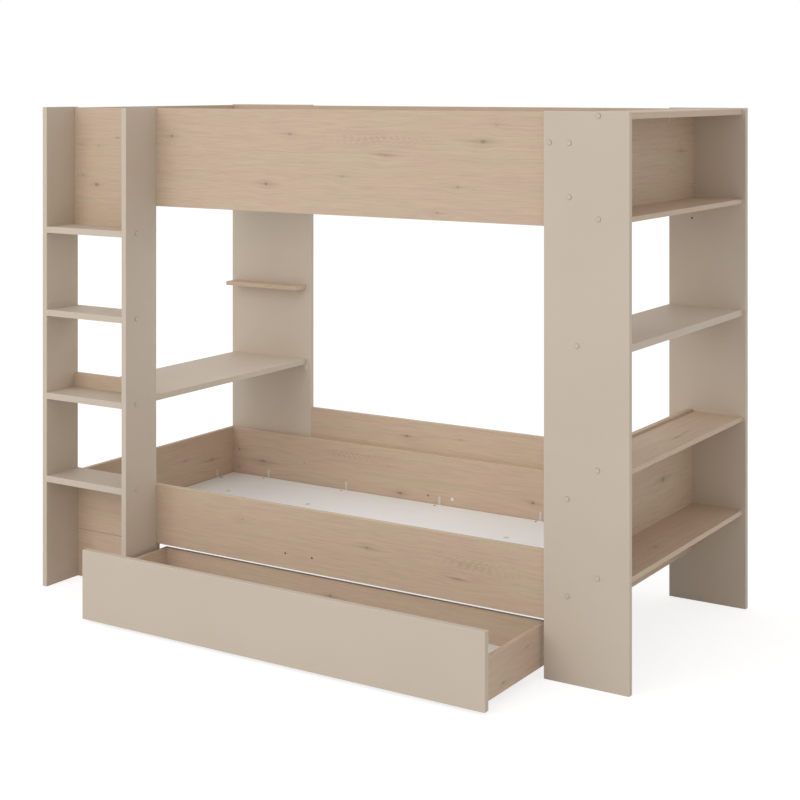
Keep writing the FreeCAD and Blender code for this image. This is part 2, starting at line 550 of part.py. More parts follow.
def castor(wheel_name, x, y):
    """A fixed castor: a folded steel fork screwed under a bar, a headed axle and a recessed wheel."""
    axle_z = WHEEL_RADIUS
    plate_top = DRAWER_SIDE_BOTTOM
    half_wheel = WHEEL_WIDTH / 2
    cheek_in = half_wheel + FORK_WHEEL_GAP
    cheek_out = cheek_in + FORK_THICK

    wheel = prism(Vector(x - half_wheel, y, axle_z), RIGHT, WHEEL_RADIUS, WHEEL_WIDTH, WHEEL_SIDES)
    for side_x, inward in ((x - half_wheel, RIGHT), (x + half_wheel, LEFT)):
        mouth = Vector(side_x, y, axle_z)
        recess = prism(mouth, inward, WHEEL_RADIUS - WHEEL_RIM, WHEEL_RECESS, CAP_SIDES)
        wheel = wheel.cut(recess.cut(prism(mouth, inward, HUB_RADIUS, WHEEL_RECESS, CAP_SIDES)))
    bore_radius = (AXLE_RADIUS + AXLE_CLEARANCE) / math.cos(math.pi / CAP_SIDES)
    bore_foot = Vector(x - half_wheel - CUT_OVERRUN, y, axle_z)
    drill = prism(bore_foot, RIGHT, bore_radius, WHEEL_WIDTH + 2 * CUT_OVERRUN, CAP_SIDES)
    solids[wheel_name] = [wheel.cut(drill)]

    plate_under = plate_top - FORK_THICK
    fork = Part.makeBox(
        FORK_PLATE_WIDTH,
        FORK_PLATE_LENGTH,
        FORK_THICK,
        Vector(x - FORK_PLATE_WIDTH / 2, y - FORK_PLATE_LENGTH / 2, plate_under),
    )
    eye = FORK_EYE_RADIUS
    outline = [
        (-eye, plate_under),
        (-eye, axle_z),
        (-eye / 2, axle_z - eye),
        (eye / 2, axle_z - eye),
        (eye, axle_z),
        (eye, plate_under),
        (-eye, plate_under),
    ]
    for low_x in (x - cheek_out, x + cheek_in):
        cheek = Part.Face(Part.makePolygon([Vector(low_x, y + across, z) for across, z in outline]))
        fork = fork.fuse(cheek.extrude(RIGHT * FORK_THICK))
    eye_foot = Vector(x - cheek_out - CUT_OVERRUN, y, axle_z)
    eye_length = 2 * (cheek_out + CUT_OVERRUN)
    fork = fork.cut(prism(eye_foot, RIGHT, AXLE_RADIUS + BOLT_CLEARANCE, eye_length, CAP_SIDES))

    axle = prism(Vector(x - cheek_out, y, axle_z), RIGHT, AXLE_RADIUS, 2 * cheek_out, CAP_SIDES)
    for foot_x, outward in ((x - cheek_out, LEFT), (x + cheek_out, RIGHT)):
        foot = Vector(foot_x, y, axle_z)
        axle = axle.fuse(prism(foot, outward, AXLE_HEAD_RADIUS, AXLE_HEAD_THICK, CAP_SIDES))

    for side in (-1, 1):
        head = Vector(
            x + side * (FORK_PLATE_WIDTH / 2 - CASTOR_SCREW_INSET),
            y + side * (FORK_PLATE_LENGTH / 2 - CASTOR_SCREW_INSET),
            plate_under,
        )
        drill_length = FORK_THICK + 2 * CUT_OVERRUN
        fork = fork.cut(prism(head + DOWN * CUT_OVERRUN, UP, SCREW_RADIUS, drill_length, SHANK_SIDES))
        bore("drawer_bars", head + UP * FORK_THICK, UP, SCREW_RADIUS, SCREW_BITE)
        shank = prism(head, UP, SCREW_RADIUS, FORK_THICK + SCREW_BITE, SHANK_SIDES)
        pan = prism(head + DOWN * SCREW_HEAD_THICK, UP, SCREW_HEAD_RADIUS, SCREW_HEAD_THICK, HEAD_SIDES)
        solids.setdefault("castor_screws", []).append(pan.fuse(shank))
    solids.setdefault("castor_forks", []).append(fork)
    solids.setdefault("castor_axles", []).append(axle)


def write_all():
    """Cut the holes, move the origin and write one file per node."""
    low_y = -DRAWER_OPEN - DRAWER_FRONT_THICK
    origin = Vector((BED_LENGTH - CAP_HEIGHT) / 2, (low_y + WALL_PANEL_BACK) / 2, 0)
    os.makedirs("parts", exist_ok=True)
    for name, shapes in solids.items():
        whole = shapes[0] if len(shapes) == 1 else Part.makeCompound(shapes)
        if name in cuts:
            whole = whole.cut(Part.makeCompound(cuts[name]) if len(cuts[name]) > 1 else cuts[name][0])
        whole.translate(origin * -1)
        whole.exportStep(f"parts/{name}.step")
        print(name, len(whole.Solids), round(whole.Volume / 1000.0, 1), whole.isValid())


ladder()
bunks()
wall_side()
tower()
frame_joints()
drawer()
write_all()
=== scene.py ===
"""Looks of a bunk bed with a ladder and desk at one end, a shelf tower at the other and a drawer on castors.

The sections follow the bed as it is put together. Lengths are in metres, with X along the bed, Y from its
front to the wall and Z up from the floor.
"""

import math

import bmesh
import bpy
import numpy as np
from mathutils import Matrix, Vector


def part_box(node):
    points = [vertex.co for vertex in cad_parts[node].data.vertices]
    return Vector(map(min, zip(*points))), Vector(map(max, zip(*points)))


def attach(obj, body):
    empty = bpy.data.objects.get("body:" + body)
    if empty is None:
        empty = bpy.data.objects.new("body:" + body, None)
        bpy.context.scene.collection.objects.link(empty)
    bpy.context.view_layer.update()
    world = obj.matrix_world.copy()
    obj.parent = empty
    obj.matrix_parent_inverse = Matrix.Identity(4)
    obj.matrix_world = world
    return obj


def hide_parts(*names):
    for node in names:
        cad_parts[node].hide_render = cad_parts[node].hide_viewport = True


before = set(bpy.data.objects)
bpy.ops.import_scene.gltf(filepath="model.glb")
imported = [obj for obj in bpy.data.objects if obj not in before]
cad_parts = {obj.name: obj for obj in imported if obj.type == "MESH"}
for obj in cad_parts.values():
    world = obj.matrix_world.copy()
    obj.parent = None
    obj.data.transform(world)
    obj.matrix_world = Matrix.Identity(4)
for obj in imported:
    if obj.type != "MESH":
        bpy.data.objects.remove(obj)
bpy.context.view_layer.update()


# Ladder: two uprights and four steps of particle board in a warm greige laminate.
# The laminate is matt with a fine pebbled press, and its narrow faces carry a glued edge band of the same
# colour. Screws hold the steps between the uprights.
class Value:
    """One number that varies over a surface: each operator on it adds a Math node."""

    def __init__(self, shader, socket):
        self.shader = shader
        self.socket = socket

    def apply(self, operation, first, second=None):
        operands = {0: first} if second is None else {0: first, 1: second}
        return self.shader.node("ShaderNodeMath", {"operation": operation}, operands, "Value")

    def __add__(self, other):
        return self.apply("ADD", self, other)

    def __sub__(self, other):
        return self.apply("SUBTRACT", self, other)

    def __rsub__(self, other):
        return self.apply("SUBTRACT", other, self)

    def __mul__(self, other):
        return self.apply("MULTIPLY", self, other)

    def __truediv__(self, other):
        return self.apply("DIVIDE", self, other)

    __radd__ = __add__
    __rmul__ = __mul__

    def least(self, other):
        return self.apply("MINIMUM", self, other)

    def most(self, other):
        return self.apply("MAXIMUM", self, other)

    def root(self):
        return self.apply("SQRT", self)

    def sine(self):
        return self.apply("SINE", self)

    def bell(self):
        """1 at zero, falling off as the natural exponent of minus the square."""
        return self.apply("EXPONENT", self * self * -1)

    def step(self, start, end):
        """A smooth rise from 0 at start to 1 at end, or a fall where end is below start."""
        low, high = min(start, end), max(start, end)
        settings = {"interpolation_type": "SMOOTHSTEP"}
        rise = self.shader.node("ShaderNodeMapRange", settings, {0: self, 1: low, 2: high}, "Result")
        return rise if start < end else 1 - rise


class Nodes:
    """The nodes of a material or of a world, which starts with none of them."""

    def __init__(self, owner):
        owner.use_nodes = True
        self.tree = owner.node_tree
        self.tree.nodes.clear()

    def node(self, kind, settings, sockets, output):
        """Add a node: settings first, then socket values or links. Returns the named output, or the node."""
        made = self.tree.nodes.new(kind)
        for key, setting in settings.items():
            setattr(made, key, setting)
        for key, given in sockets.items():
            target = made.inputs[key]
            if isinstance(given, Value):
                self.tree.links.new(given.socket, target)
            elif isinstance(given, bpy.types.NodeSocket):
                self.tree.links.new(given, target)
            else:
                target.default_value = given
        if output is None:
            return made
        found = made.outputs[output]
        return Value(self, found) if found.type == "VALUE" else found


class Finish(Nodes):
    """A material for a piece, whose patterns read Object coordinates."""

    def __init__(self, name):
        self.material = bpy.data.materials.new(name)
        super().__init__(self.material)
        self.place = self.node("ShaderNodeTexCoord", {}, {}, "Object")
        split = self.node("ShaderNodeSeparateXYZ", {}, {"Vector": self.place}, None)
        self.xyz = [Value(self, split.outputs[axis]) for axis in "XYZ"]

    def point(self, x, y, z):
        return self.node("ShaderNodeCombineXYZ", {}, {"X": x, "Y": y, "Z": z}, "Vector")

    def noise(self, vector, scale, detail=2.0, roughness=0.5):
        sockets = {"Vector": vector, "Scale": scale, "Detail": detail, "Roughness": roughness}
        return self.node("ShaderNodeTexNoise", {"noise_dimensions": "3D"}, sockets, 0)

    def mix(self, share, first, second):
        """The first colour turning into the second as share goes from 0 to 1."""
        colour = [c if isinstance(c, bpy.types.NodeSocket) else (*c, 1.0) for c in (first, second)]
        sockets = {0: share, 6: colour[0], 7: colour[1]}
        return self.node("ShaderNodeMix", {"data_type": "RGBA"}, sockets, 2)

    def arris_highlight(self, node, width):
        """1 on the arrises of a board's box and 0 from width away: the middle one of the three distances."""
        # This mask places a painted highlight along a board's edges.
        low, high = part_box(node)
        a, b, c = [(p - low[i]).least(high[i] - p) for i, p in enumerate(self.xyz)]
        middle = a.least(b).most(a.most(b).least(c))
        full_width = width * 0.4
        return middle.step(width, full_width)

    def surface(self, colour, roughness, height=None, depth=0.0, **constants):
        """A Principled surface with an optional bump of the given depth in metres."""
        sockets = {"Base Color": colour, "Roughness": roughness, **constants}
        if height is not None:
            bump = {"Strength": 1.0, "Distance": depth, "Height": height}
            sockets["Normal"] = self.node("ShaderNodeBump", {}, bump, "Normal")
        shader = self.node("ShaderNodeBsdfPrincipled", {}, sockets, "BSDF")
        self.node("ShaderNodeOutputMaterial", {}, {"Surface": shader}, None)
        return self.material


def dress(node, material):
    """Give a CAD node's object a finish."""
    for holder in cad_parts[node].material_slots:
        holder.material = material


STEPS = 4
GREIGE_TONES = (0.598, 0.508, 0.412), (0.622, 0.533, 0.437)
# The paler arris tone below is a painted highlight along the laminate's edges.
GREIGE_ARRIS_HIGHLIGHT = (0.70, 0.625, 0.54)
GREIGE_HIGHLIGHT_WIDTH, GREIGE_HIGHLIGHT_SHARE = 0.0022, 0.6
CLOUDS_PER_METRE, CLOUD_SHARE = 3.0, 0.6
FLECKS_PER_METRE, FLECK_RANGE, FLECK_SHARE = 260.0, (0.35, 0.65), 0.4
PEBBLES_PER_METRE, PEBBLE_DEPTH = 900.0, 0.00012
GREIGE_ROUGHNESS, PEBBLE_ROUGHNESS, CLOUD_ROUGHNESS = 0.5, 0.12, 0.04

# Nearly all of any noise lies in this range.
NOISE_RANGE = 0.3, 0.7


def cashmere(node):
    """Greige laminate: two close tones in slow clouds and small flecks, a painted highlight on the arrises
    and a fine pebble.
    """
    finish = Finish(f"cashmere_{node}")
    clouds = finish.noise(finish.place, CLOUDS_PER_METRE, 3.0)
    flecks = finish.noise(finish.place, FLECKS_PER_METRE, 2.0)
    tone = clouds.step(*NOISE_RANGE) * CLOUD_SHARE + flecks.step(*FLECK_RANGE) * FLECK_SHARE
    colour = finish.mix(tone, *GREIGE_TONES)
    # The paler band along each arris is a painted highlight, where light catches the board's edges.
    arris_highlight = finish.arris_highlight(node, GREIGE_HIGHLIGHT_WIDTH) * GREIGE_HIGHLIGHT_SHARE
    colour = finish.mix(arris_highlight, colour, GREIGE_ARRIS_HIGHLIGHT)
    pebble = finish.noise(finish.place, PEBBLES_PER_METRE, 2.0, 0.6)
    roughness = GREIGE_ROUGHNESS + pebble.step(*NOISE_RANGE) * PEBBLE_ROUGHNESS + clouds * CLOUD_ROUGHNESS
    dress(node, finish.surface(colour, roughness, pebble, PEBBLE_DEPTH))


for side in ("left", "right"):
    cashmere(f"ladder_{side}_panel")
for number in range(1, STEPS + 1):
    cashmere(f"ladder_step_{number}")


# Board over the top step, stop strip behind the desk and plinth board at the ladder's foot.
# They are particle board in a laminate printed with pale knotty hickory, whose grain runs along them.
X, Y, Z = 0, 1, 2
PINK_TAN = (0.642, 0.479, 0.360)
YELLOW_TAN = (0.623, 0.494, 0.355)
GRAIN_BROWN = (0.400, 0.292, 0.212)
KNOT_BROWN = (0.262, 0.162, 0.104)
# The seam brown below is a painted shadow along an edge that another board stands on.
SEAM_SHADOW_BROWN = (0.40, 0.29, 0.21)
# The paler arris tone below is a painted highlight along the boards' edges.
HICKORY_ARRIS_HIGHLIGHT = (0.70, 0.60, 0.49)
HICKORY_HIGHLIGHT_WIDTH, HICKORY_HIGHLIGHT_SHARE = 0.0016, 0.25
HICKORY_ROUGHNESS, FIBRE_ROUGHNESS, PORE_ROUGHNESS = 0.5, 0.1, 0.12
GRAIN_DEPTH, FIBRE_HEIGHT, PORE_HEIGHT = 0.00012, 0.6, 0.7

# Noise of the print: its cells per metre along and across the grain, the range of it that shows, and how much
# of the grain's brown it lays on at most.
PATCH_CELLS, PATCH_RANGE = (3.2, 24.0), (0.40, 0.66)
BAND_CELLS, BAND_RANGE, BAND_SHADE = (1.7, 62.0), (0.36, 0.68), 0.09
STREAK_CELLS, STREAK_RANGE, STREAK_SHADE = (8.0, 165.0), (0.38, 0.70), 0.21
FIBRE_CELLS, FIBRE_RANGE, FIBRE_SHADE = (16.0, 420.0), (0.35, 0.75), 0.20
PORE_CELLS, PORE_RANGE, PORE_SHADE = (70.0, 1500.0), (0.56, 0.72), 0.06

# How often and how far the grain's lines wander.
WANDER_CELLS, WANDER = (1.8, 4.0), 0.007

# Knots: all reaches, widths and edges are in radii of the knot.
PUSH_REACH_ALONG, PUSH_REACH_ACROSS, PUSH = 6, 4, -0.5
OVAL_ALONG, OVAL_ACROSS, OVAL_EDGE = 0.45, 1.6, (1.05, 0.2)
GRIT_PER_METRE, GRIT_SHARE = 130.0, 1.1
TAIL_REACH, TAIL_WIDTH, TAIL_SLANT = 6, 0.45, 0.03
HALO_EDGE, HALO_SHARE = (3.2, 0.8), 0.22

# Arches: the pitch and the bow of their rings, how far the other patterns shift these, and how dark they are.
ARCH_PITCH, ARCH_BOW = 0.026, 1.7
SHIFT_BY_PATCH, SHIFT_BY_BAND, SHIFT_BY_STREAK = 0.07, 0.04, 0.012
ARCH_SHADE, ARCH_STREAK_RANGE, ARCH_STREAK_SHADE = 0.10, (0.25, 0.55), 0.19


def knot_marks(finish, u, v, knots):
    """The push of all the knots on the grain, their dark ovals with their tails, and their faint halos.

    The distance from a knot is the root of its weighted squares along and across, over the radius, and some
    grit. The push is the distance across times a bell in both directions, and a tail is a long, thin bell.
    """
    spread, dark, halo = None, None, None
    grit = finish.noise(finish.place, GRIT_PER_METRE, 2.0) - 0.5
    for knot_u, knot_v, radius, darkness, tail in knots:
        du, dv = u - knot_u, v - knot_v
        reach = (du / (radius * PUSH_REACH_ALONG)).bell() * (dv / (radius * PUSH_REACH_ACROSS)).bell()
        push = dv * reach * PUSH
        spread = push if spread is None else spread + push
        distance = (du * du * OVAL_ALONG + dv * dv * OVAL_ACROSS).root() / radius + grit * GRIT_SHARE
        oval = distance.step(*OVAL_EDGE) * darkness
        tail_across = (dv + du * TAIL_SLANT) / (radius * TAIL_WIDTH)
        streak = (du / (radius * TAIL_REACH)).bell() * tail_across.bell() * tail
        ring = distance.step(*HALO_EDGE) * (darkness * HALO_SHARE)
        dark = oval.most(streak) if dark is None else dark.most(oval).most(streak)
        halo = ring if halo is None else halo.most(ring)
    return spread, dark, halo


def woodgrain(node, along, across, knots=(), turn=0.0, arches=(), seam_shadow=0.0):
    """Printed hickory, whose grain runs along one axis of the board.

    Patches of a pink and a yellow tan, bands, streaks, fibres and pores are noise stretched along the grain,
    each finer than the one before. At each knot (along, across, radius, darkness, tail) the grain spreads
    round a dark oval with a streak running from it. In each figure of arches (along, across, reach, breadth,
    heading) the rings are waves of the distance along plus the square of the distance across, and fade out
    at its edges. The turn shifts the noise, so that no two boards are alike. A seam shadow is painted shadow:
    it darkens a strip of that width along the board's upper edge, where another board stands on it.
    """
    finish = Finish(f"woodgrain_{node}")
    through = X + Y + Z - along - across
    u, v, w = (finish.xyz[axis] for axis in (along, across, through))

    wander_place = finish.point(u * WANDER_CELLS[0] + turn, v * WANDER_CELLS[1], turn)
    wander = (finish.noise(wander_place, 1.0, 2.0) - 0.5) * WANDER
    if knots:
        spread, dark, halo = knot_marks(finish, u, v, knots)
        grain = v + spread + wander
    else:
        grain = v + wander

    def stretched(cells, turned_on, detail, roughness=0.5):
        """Noise with so many cells per metre along and across the grain, moved by the turn where it is on."""
        place = [u * cells[0], grain * cells[1], w * cells[1]]
        place = [p + turn if on else p for p, on in zip(place, turned_on)]
        return finish.noise(finish.point(*place), 1.0, detail, roughness)

    patch = stretched(PATCH_CELLS, (True, False, True), detail=3.0, roughness=0.6)
    band = stretched(BAND_CELLS, (True, False, False), detail=2.0)
    streaks = stretched(STREAK_CELLS, (False, True, False), detail=3.0, roughness=0.62)
    fibre = stretched(FIBRE_CELLS, (False, True, False), detail=4.0, roughness=0.62)
    pores = stretched(PORE_CELLS, (False, False, False), detail=2.0).step(*PORE_RANGE)

    tone = finish.mix(patch.step(*PATCH_RANGE), PINK_TAN, YELLOW_TAN)
    shade = band.step(*BAND_RANGE) * BAND_SHADE + streaks.step(*STREAK_RANGE) * STREAK_SHADE
    shade = shade + fibre.step(*FIBRE_RANGE) * FIBRE_SHADE + pores * PORE_SHADE
    for arch_u, arch_v, reach, breadth, heading in arches:
        du, dv = u - arch_u, grain - arch_v
        inside = (du / reach).bell() * (dv / breadth).bell()
        bow = du * heading + dv * dv * (ARCH_BOW / breadth) + patch * SHIFT_BY_PATCH
        bow = bow + band * SHIFT_BY_BAND + streaks * SHIFT_BY_STREAK
        wave = (bow * (math.tau / ARCH_PITCH)).sine() * 0.5 + 0.5
        strength = streaks.step(*ARCH_STREAK_RANGE) * ARCH_STREAK_SHADE + ARCH_SHADE
        shade = shade + wave * inside * strength
    if knots:
        shade = shade + halo
    colour = finish.mix(shade.least(1.0), tone, GRAIN_BROWN)
    if knots:
        colour = finish.mix(dark.least(1.0), colour, KNOT_BROWN)
    # The paler band along each arris is a painted highlight, where light catches the board's edges.
    arris_highlight = finish.arris_highlight(node, HICKORY_HIGHLIGHT_WIDTH) * HICKORY_HIGHLIGHT_SHARE
    colour = finish.mix(arris_highlight, colour, HICKORY_ARRIS_HIGHLIGHT)
    # Painted shadow in a strip along the board's upper edge.
    if seam_shadow:
        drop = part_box(node)[1][across] - v
        colour = finish.mix(drop.step(seam_shadow, seam_shadow * 0.5), colour, SEAM_SHADOW_BROWN)
    height = fibre * FIBRE_HEIGHT - pores * PORE_HEIGHT
    roughness = HICKORY_ROUGHNESS + fibre * FIBRE_ROUGHNESS + pores * PORE_ROUGHNESS
    dress(node, finish.surface(colour, roughness, height, GRAIN_DEPTH))


END_MARGIN = 0.05
SIDE_MARGIN = 0.02


def scattered_knots(node, along, across, seed, count):
    """Knots at random places of a board that the eye doesn't single out, always the same ones."""
    draw = np.random.default_rng(seed)
    low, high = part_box(node)
    us = draw.uniform(low[along] + END_MARGIN, high[along] - END_MARGIN, count)
    vs = draw.uniform(low[across] + SIDE_MARGIN, high[across] - SIDE_MARGIN, count)
    radii = draw.uniform(0.004, 0.010, count)
    darknesses = draw.uniform(0.35, 0.75, count)
    tails = draw.uniform(0.0, 0.25, count)
    return list(zip(us, vs, radii, darknesses, tails))


# Each knot: its place along and across the grain, its radius, its darkness and its tail's darkness.
top_board_knots = [
    (-0.890, 1.622, 0.006, 0.45, 0.1),
    (-0.983, 1.592, 0.006, 0.40, 0.1),
    (-1.064, 1.593, 0.007, 0.30, 0.1),
    (-0.992, 1.450, 0.010, 0.75, 0.1),
    (-1.060, 1.482, 0.008, 0.35, 0.1),
]
woodgrain("ladder_top_board", X, Z, top_board_knots, turn=0.7)
woodgrain("desk_stop_strip", X, Z, turn=1.9)
plinth_knots = scattered_knots("ladder_plinth_board", X, Z, seed=5, count=2)
# The plinth board gets a painted shadow along its upper edge.
woodgrain("ladder_plinth_board", X, Z, plinth_knots, turn=2.6, seam_shadow=0.003)


# Rails and end boards of the two bunks, in the same printed hickory.
# The rails run along the bed with their grain, and the end boards stand between them across it.
upper_front_knots = [
    (-0.651, 1.632, 0.009, 0.65, 0.2),
    (-0.725, 1.605, 0.006, 0.38, 0.1),
    (-0.133, 1.647, 0.010, 0.51, 0.2),
    (-0.234, 1.475, 0.010, 0.75, 0.3),
    (0.080, 1.511, 0.008, 0.43, 0.2),
    (0.250, 1.585, 0.009, 0.47, 0.5),
    (0.616, 1.634, 0.011, 0.70, 0.3),
    (0.525, 1.489, 0.008, 0.47, 0.2),
    (0.448, 1.404, 0.007, 0.43, 0.2),
    (0.666, 1.688, 0.007, 0.38, 0.1),
]
lower_front_knots = [
    (-0.336, 0.316, 0.006, 0.4, 0.2),
    (0.179, 0.295, 0.009, 0.6, 0.3),
    (0.520, 0.248, 0.007, 0.5, 0.55),
]
upper_back_knots = scattered_knots("upper_back_rail", X, Z, seed=11, count=6)
lower_back_knots = [
    (-0.949, 0.261, 0.015, 0.65, 0.3),
    (-0.280, 0.220, 0.010, 0.85, 0.2),
    (0.305, 0.260, 0.009, 0.8, 0.2),
]

# Each figure of arches: its place along and across the grain, its reach, its breadth and its heading.
upper_front_arches = [(0.22, 1.637, 0.17, 0.030, 1.0)]
lower_front_arches = [(0.58, 0.296, 0.16, 0.030, -1.0)]
lower_back_arches = [(-0.49, 0.335, 0.16, 0.026, 1.0)]
woodgrain("upper_front_rail", X, Z, upper_front_knots, turn=3.3, arches=upper_front_arches)
woodgrain("lower_front_rail", X, Z, lower_front_knots, turn=4.1, arches=lower_front_arches)
woodgrain("upper_back_rail", X, Z, upper_back_knots, turn=5.2)
woodgrain("lower_back_rail", X, Z, lower_back_knots, turn=6.4, arches=lower_back_arches)

upper_left_knots = scattered_knots("upper_left_end_board", Y, Z, seed=12, count=4)
lower_left_knots = [(0.324, 0.304, 0.008, 0.45, 0.2), (0.492, 0.275, 0.013, 0.55, 0.2)]
upper_right_knots = [(0.533, 1.585, 0.010, 0.6, 0.3), (0.106, 1.47, 0.007, 0.5, 0.2)]
lower_right_knots = [(0.393, 0.478, 0.018, 0.6, 0.2)]
lower_right_knots += scattered_knots("lower_right_end_board", Y, Z, seed=13, count=2)
woodgrain("upper_left_end_board", Y, Z, upper_left_knots, turn=7.1)
woodgrain("lower_left_end_board", Y, Z, lower_left_knots, turn=8.2)
woodgrain("upper_right_end_board", Y, Z, upper_right_knots, turn=9.3)
woodgrain("lower_right_end_board", Y, Z, lower_right_knots, turn=10.4)


# Upright at the wall behind the ladder and the desk it helps to carry, in the greige laminate.
# A narrow hickory ledge is screwed to it, and a low hickory board runs from it to the shelf tower.
for node in ("wall_panel", "desk_top"):
    cashmere(node)
woodgrain("wall_ledge", X, Y, turn=11.5)
wall_board_knots = [(-0.259, 0.441, 0.008, 0.8, 0.2), (-0.015, 0.454, 0.006, 0.35, 0.1)]
woodgrain("wall_back_board", X, Z, wall_board_knots, turn=12.6)


# Shelf tower: two greige uprights and a greige middle shelf, with four hickory boards between them.
# The boards' grain runs across the bed, from one upright to the other.
for node in ("tower_front_panel", "tower_back_panel", "tower_shelf_middle"):
    cashmere(node)
for number, node in enumerate(("tower_top_board", "tower_shelf_upper", "tower_shelf_bottom")):
    shelf_knots = scattered_knots(node, Y, X, seed=20 + number, count=3)
    woodgrain(node, Y, X, shelf_knots, turn=13.7 + number)
low_shelf_knots = [(0.225, 1.051, 0.008, 0.3, 0.8), (0.310, 1.044, 0.007, 0.3, 0.6)]
woodgrain("tower_shelf_low", Y, X, low_shelf_knots, turn=17.7)


# Mattress bases: white laminated boards that drop in between the rails.
# Bars of raw softwood below stiffen them.
GRAINS_PER_CLOUD = 60
CLOUDED_SHARE, GRAINED_SHARE = 0.7, 0.3


def painted(name, tones, clouds_per_metre, smoothest, spread, depth, **constants):
    """Two close tones in clouds, with a fine grain that also carries the bump.

    The grain raises the roughness from the smoothest by up to the spread.
    """
    finish = Finish(name)
    clouds = finish.noise(finish.place, clouds_per_metre, 3.0)
    grain = finish.noise(finish.place, clouds_per_metre * GRAINS_PER_CLOUD, 2.0, 0.6)
    tone = clouds.step(*NOISE_RANGE) * CLOUDED_SHARE + grain * GRAINED_SHARE
    colour = finish.mix(tone, *tones)
    return finish.surface(colour, smoothest + grain * spread, grain, depth, **constants)


white_tones = (0.918, 0.930, 0.930), (0.943, 0.953, 0.953)
white_laminate = painted(
    "white_laminate", white_tones, clouds_per_metre=6.0, smoothest=0.42, spread=0.15, depth=0.0001
)
for node in ("lower_base_board", "upper_base_board"):
    dress(node, white_laminate)


RAW_FIBRES_ALONG, RAW_FIBRES_ACROSS = 5.0, 150.0
RAW_ROUGHNESS, RAW_FIBRE_ROUGHNESS, RAW_DEPTH = 0.6, 0.2, 0.0002


def raw_wood(name, tones, along):
    """Sawn softwood or beech: fibres are noise stretched along the grain."""
    finish = Finish(name)
    cells = [RAW_FIBRES_ALONG if axis == along else RAW_FIBRES_ACROSS for axis in (X, Y, Z)]
    place = finish.point(*[p * c for p, c in zip(finish.xyz, cells)])
    fibre = finish.noise(place, 1.0, 4.0, 0.6)
    colour = finish.mix(fibre.step(*NOISE_RANGE), *tones)
    return finish.surface(colour, RAW_ROUGHNESS + fibre * RAW_FIBRE_ROUGHNESS, fibre, RAW_DEPTH)


softwood_tones = (0.62, 0.47, 0.31), (0.47, 0.33, 0.20)
for node in ("lower_base_bars", "upper_base_bars"):
    dress(node, raw_wood(f"raw_{node}", softwood_tones, X))


# Angle brackets that hang the bases in the rails: milky moulded plastic, one leg up the rail.
# Below the desk and the tower's top board the same brackets point down.
milky_tones = (0.66, 0.60, 0.54), (0.72, 0.66, 0.60)
moulding = {"clouds_per_metre": 40.0, "smoothest": 0.32, "spread": 0.1, "depth": 0.00005}
milky = painted("milky_plastic", milky_tones, **moulding, **{"Subsurface Weight": 0.1})
for node in ("lower_base_brackets", "upper_base_brackets", "desk_brackets", "top_board_brackets"):
    dress(node, milky)


# Cover caps over the sunk screw heads: domed plastic discs moulded in the laminate's colour, with painted
# shade on their brims.
# Each is pressed on and takes the place of one of the CAD's faceted caps.
def turned(profile, sides):
    """A profile of (radius, height) points carried round the Z axis: x = r cos a, y = r sin a, z = h.

    Points of a first or last radius of zero fall together, and other open ends are left to meet each other.
    """
    radius, height = np.array(profile, float).T
    angle = np.linspace(0, math.tau, sides, endpoint=False)
    x, y = np.outer(radius, np.cos(angle)), np.outer(radius, np.sin(angle))
    z = np.outer(height, np.ones(sides))
    points = np.stack([x, y, z], 2).reshape(-1, 3)
    rows = len(profile)
    index = np.arange(rows * sides).reshape(rows, sides)
    onward = np.roll(index, -1, 1)
    quads = np.stack([index[:-1], onward[:-1], onward[1:], index[1:]], 2).reshape(-1, 4)
    return points, quads


SAME_POINT = 1e-6


def solid(name, parts, material, share=None):
    """One smooth object from (points, quads) parts, with the points that fall together made one.

    Where a share is given, it has one number for each point of a part, kept as the point's "share".
    """
    counts = np.cumsum([0] + [len(points) for points, _ in parts])
    points = np.concatenate([points for points, _ in parts])
    quads = np.concatenate([quads + start for (_, quads), start in zip(parts, counts)])
    mesh = bpy.data.meshes.new(name)
    mesh.from_pydata(points.tolist(), [], quads.tolist())
    if share is not None:
        kept = mesh.attributes.new("share", "FLOAT", "POINT")
        kept.data.foreach_set("value", np.tile(share, len(parts)))
    work = bmesh.new()
    work.from_mesh(mesh)
    bmesh.ops.remove_doubles(work, verts=work.verts, dist=SAME_POINT)
    bmesh.ops.recalc_face_normals(work, faces=work.faces)
    work.to_mesh(mesh)
    work.free()
    mesh.polygons.foreach_set("use_smooth", [True] * len(mesh.polygons))
    piece = bpy.data.objects.new(name, mesh)
    bpy.context.scene.collection.objects.link(piece)
    mesh.materials.append(material)
    return piece


def aimed(points, foot, direction):
    """Turn points whose own axis is Z to look along a direction, and stand them on a foot."""
    z = np.array(direction, float)
    x = np.cross((0.0, 1.0, 0.0) if abs(z[2]) > 0.5 else (0.0, 0.0, 1.0), z)
    y = np.cross(z, x)
    return points @ np.stack([x, y, z]) + np.array(foot)


def clusters(node, reach):
    """The vertices of each separate bit of a CAD node: all within reach of the first one that is left."""
    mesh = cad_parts[node].data
    left = np.empty(len(mesh.vertices) * 3)
    mesh.vertices.foreach_get("co", left)
    left = left.reshape(-1, 3)
    while len(left):
        near = np.linalg.norm(left - left[0], axis=1) < reach
        yield left[near]
        left = left[~near]


FOOT_TOP_SHARE = 0.8
EDGE_SHARE = 0.975
SHOULDER_SHARE = 0.92
CROWN_MIDDLE_SHARES = 0.6, 0.985


def button(radius, height, brim, crown):
    """Out over a flat foot, up a brim, in along a quarter of an ellipse and over a low crown."""
    rise = np.linspace(0, math.pi / 2, 9)
    edge, shoulder = radius * EDGE_SHARE, height * SHOULDER_SHARE
    arc = [(crown + (edge - crown) * math.cos(a), brim + (shoulder - brim) * math.sin(a)) for a in rise]
    crown_middle = crown * CROWN_MIDDLE_SHARES[0], height * CROWN_MIDDLE_SHARES[1]
    return [(0.0, 0.0), (radius, 0.0), (radius, brim * FOOT_TOP_SHARE), *arc, crown_middle, (0.0, height)]


